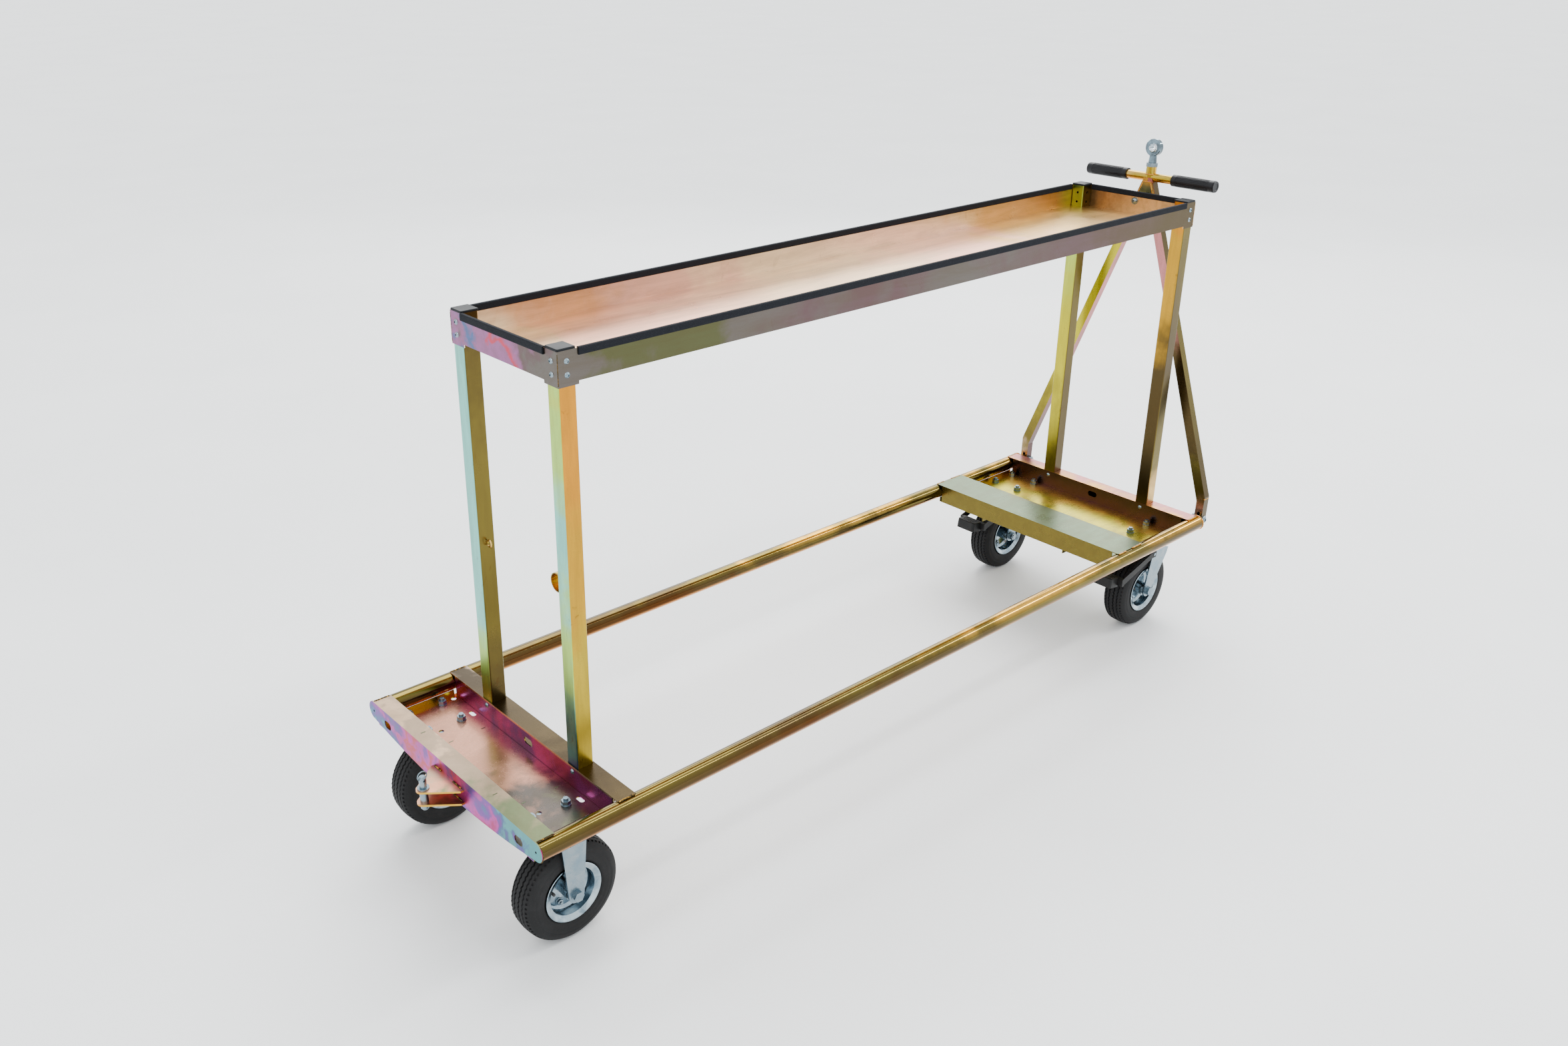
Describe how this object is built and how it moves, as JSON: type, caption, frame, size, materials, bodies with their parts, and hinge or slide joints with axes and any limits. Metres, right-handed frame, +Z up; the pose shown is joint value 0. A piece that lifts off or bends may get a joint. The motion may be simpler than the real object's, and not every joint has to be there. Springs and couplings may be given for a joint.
{
  "type": "wheel dolly",
  "caption": "Towable tyre dolly: two round rails, castors, four posts, a shallow trimmed tray on top, a folding A-frame drawbar with a T handle and eye, and a pin clevis.",
  "frame": {"origin": "on the floor, under the middle of the object's bounding box", "axes": "+X along the rails to the drawbar end, +Y to the far rail, +Z up"},
  "size_m": [2.231, 0.6338, 1.2349],
  "materials": {
    "zinc_yellow": "yellow zinc passivated steel sheet and tube, iridescent, satin",
    "zinc_bright": "bright zinc plated steel, satin to polished",
    "tyre_rubber": "moulded black tyre rubber, matte",
    "pedal_black": "black plastic over steel, matte",
    "ball_steel": "ground bearing steel, polished",
    "cap_plastic": "black moulded plastic, satin",
    "trim_rubber": "black ribbed edge trim, matte",
    "grip_rubber": "black rubber grip, satin",
    "magnet_black": "rubber covered pot magnet, matte"
  },
  "bodies": {
    "frame": {"bar_socket": "zinc_yellow", "castor_a_far_axle": "zinc_bright", "castor_a_far_fork": "zinc_bright", "castor_a_near_axle": "zinc_bright", "castor_a_near_fork": "zinc_bright", "castor_bolts": "zinc_bright", "castor_nuts": "zinc_bright", "clevis_plates": "zinc_yellow", "drawbar_lugs": "zinc_yellow", "edge_trims_long": "trim_rubber", "edge_trims_short": "trim_rubber", "end_wall_a": "zinc_yellow", "end_wall_b": "zinc_yellow", "kingpins": "zinc_bright", "latch_magnet": "magnet_black", "latch_screw": "zinc_bright", "pan_a": "zinc_yellow", "pan_b": "zinc_yellow", "pan_ribs": "zinc_yellow", "post_a_far": "zinc_yellow", "post_a_near": "zinc_yellow", "post_b_far": "zinc_yellow", "post_b_near": "zinc_yellow", "post_base_screws": "zinc_bright", "post_caps": "cap_plastic", "rail_far": "zinc_yellow", "rail_near": "zinc_yellow", "ring_clip": "zinc_yellow", "swivel_plates": "zinc_bright", "tray": "zinc_yellow", "tray_screws": "zinc_bright"},
    "drawbar": {"drawbar_leg_near": "zinc_yellow", "drawbar_leg_far": "zinc_yellow", "drawbar_gusset": "zinc_yellow", "handle_tube": "zinc_yellow", "handle_grips": "grip_rubber", "eye_boss": "zinc_yellow", "eye_lock_nut": "zinc_bright", "rod_end": "zinc_bright", "hinge_bolts": "zinc_bright"},
    "eye_ball": {"rod_end_ball": "ball_steel"},
    "tow_pin": {"tow_pin": "zinc_bright"},
    "wheel_a_near": {"castor_a_near_tyre": "tyre_rubber", "castor_a_near_rim": "zinc_bright", "castor_a_near_hub": "zinc_bright"},
    "wheel_b_near": {"castor_b_near_tyre": "tyre_rubber", "castor_b_near_rim": "zinc_bright", "castor_b_near_hub": "zinc_bright"},
    "swivel_near": {"castor_b_near_fork": "zinc_bright", "castor_b_near_axle": "zinc_bright"},
    "pedal_near": {"castor_b_near_pedal": "pedal_black"},
    "wheel_a_far": {"castor_a_far_tyre": "tyre_rubber", "castor_a_far_rim": "zinc_bright", "castor_a_far_hub": "zinc_bright"},
    "wheel_b_far": {"castor_b_far_tyre": "tyre_rubber", "castor_b_far_rim": "zinc_bright", "castor_b_far_hub": "zinc_bright"},
    "swivel_far": {"castor_b_far_fork": "zinc_bright", "castor_b_far_axle": "zinc_bright"},
    "pedal_far": {"castor_b_far_pedal": "pedal_black"}
  },
  "joints": [
    {"name": "drawbar_fold", "type": "hinge", "parent": "frame", "child": "drawbar", "pos_m": [1.08003, 0, 0.27], "axis": [0, 1, 0], "range_deg": [0, 100]},
    {"name": "eye_tilt", "type": "hinge", "parent": "drawbar", "child": "eye_ball", "pos_m": [1.10224, 0, 1.21274], "axis": [0, 1, 0], "range_deg": [-12, 12]},
    {"name": "tow_pin_lift", "type": "slide", "parent": "frame", "child": "tow_pin", "axis": [0, 0, 1], "range_m": [0, 0.055]},
    {"name": "wheel_a_near_roll", "type": "hinge", "parent": "frame", "child": "wheel_a_near", "pos_m": [-0.94898, -0.227, 0.105], "axis": [0, 1, 0], "continuous": true},
    {"name": "castor_near_swivel", "type": "hinge", "parent": "frame", "child": "swivel_near", "pos_m": [0.95003, -0.227, 0.242], "axis": [0, 0, 1], "continuous": true},
    {"name": "wheel_b_near_roll", "type": "hinge", "parent": "swivel_near", "child": "wheel_b_near", "pos_m": [0.90102, -0.227, 0.105], "axis": [0, 1, 0], "continuous": true},
    {"name": "brake_near_press", "type": "hinge", "parent": "swivel_near", "child": "pedal_near", "pos_m": [0.90802, -0.227, 0.2106], "axis": [0, -1, 0], "range_deg": [0, 9]},
    {"name": "wheel_a_far_roll", "type": "hinge", "parent": "frame", "child": "wheel_a_far", "pos_m": [-0.94898, 0.227, 0.105], "axis": [0, 1, 0], "continuous": true},
    {"name": "castor_far_swivel", "type": "hinge", "parent": "frame", "child": "swivel_far", "pos_m": [0.95003, 0.227, 0.242], "axis": [0, 0, 1], "continuous": true},
    {"name": "wheel_b_far_roll", "type": "hinge", "parent": "swivel_far", "child": "wheel_b_far", "pos_m": [0.90102, 0.227, 0.105], "axis": [0, 1, 0], "continuous": true},
    {"name": "brake_far_press", "type": "hinge", "parent": "swivel_far", "child": "pedal_far", "pos_m": [0.90802, 0.227, 0.2106], "axis": [0, -1, 0], "range_deg": [0, 9]}
  ]
}
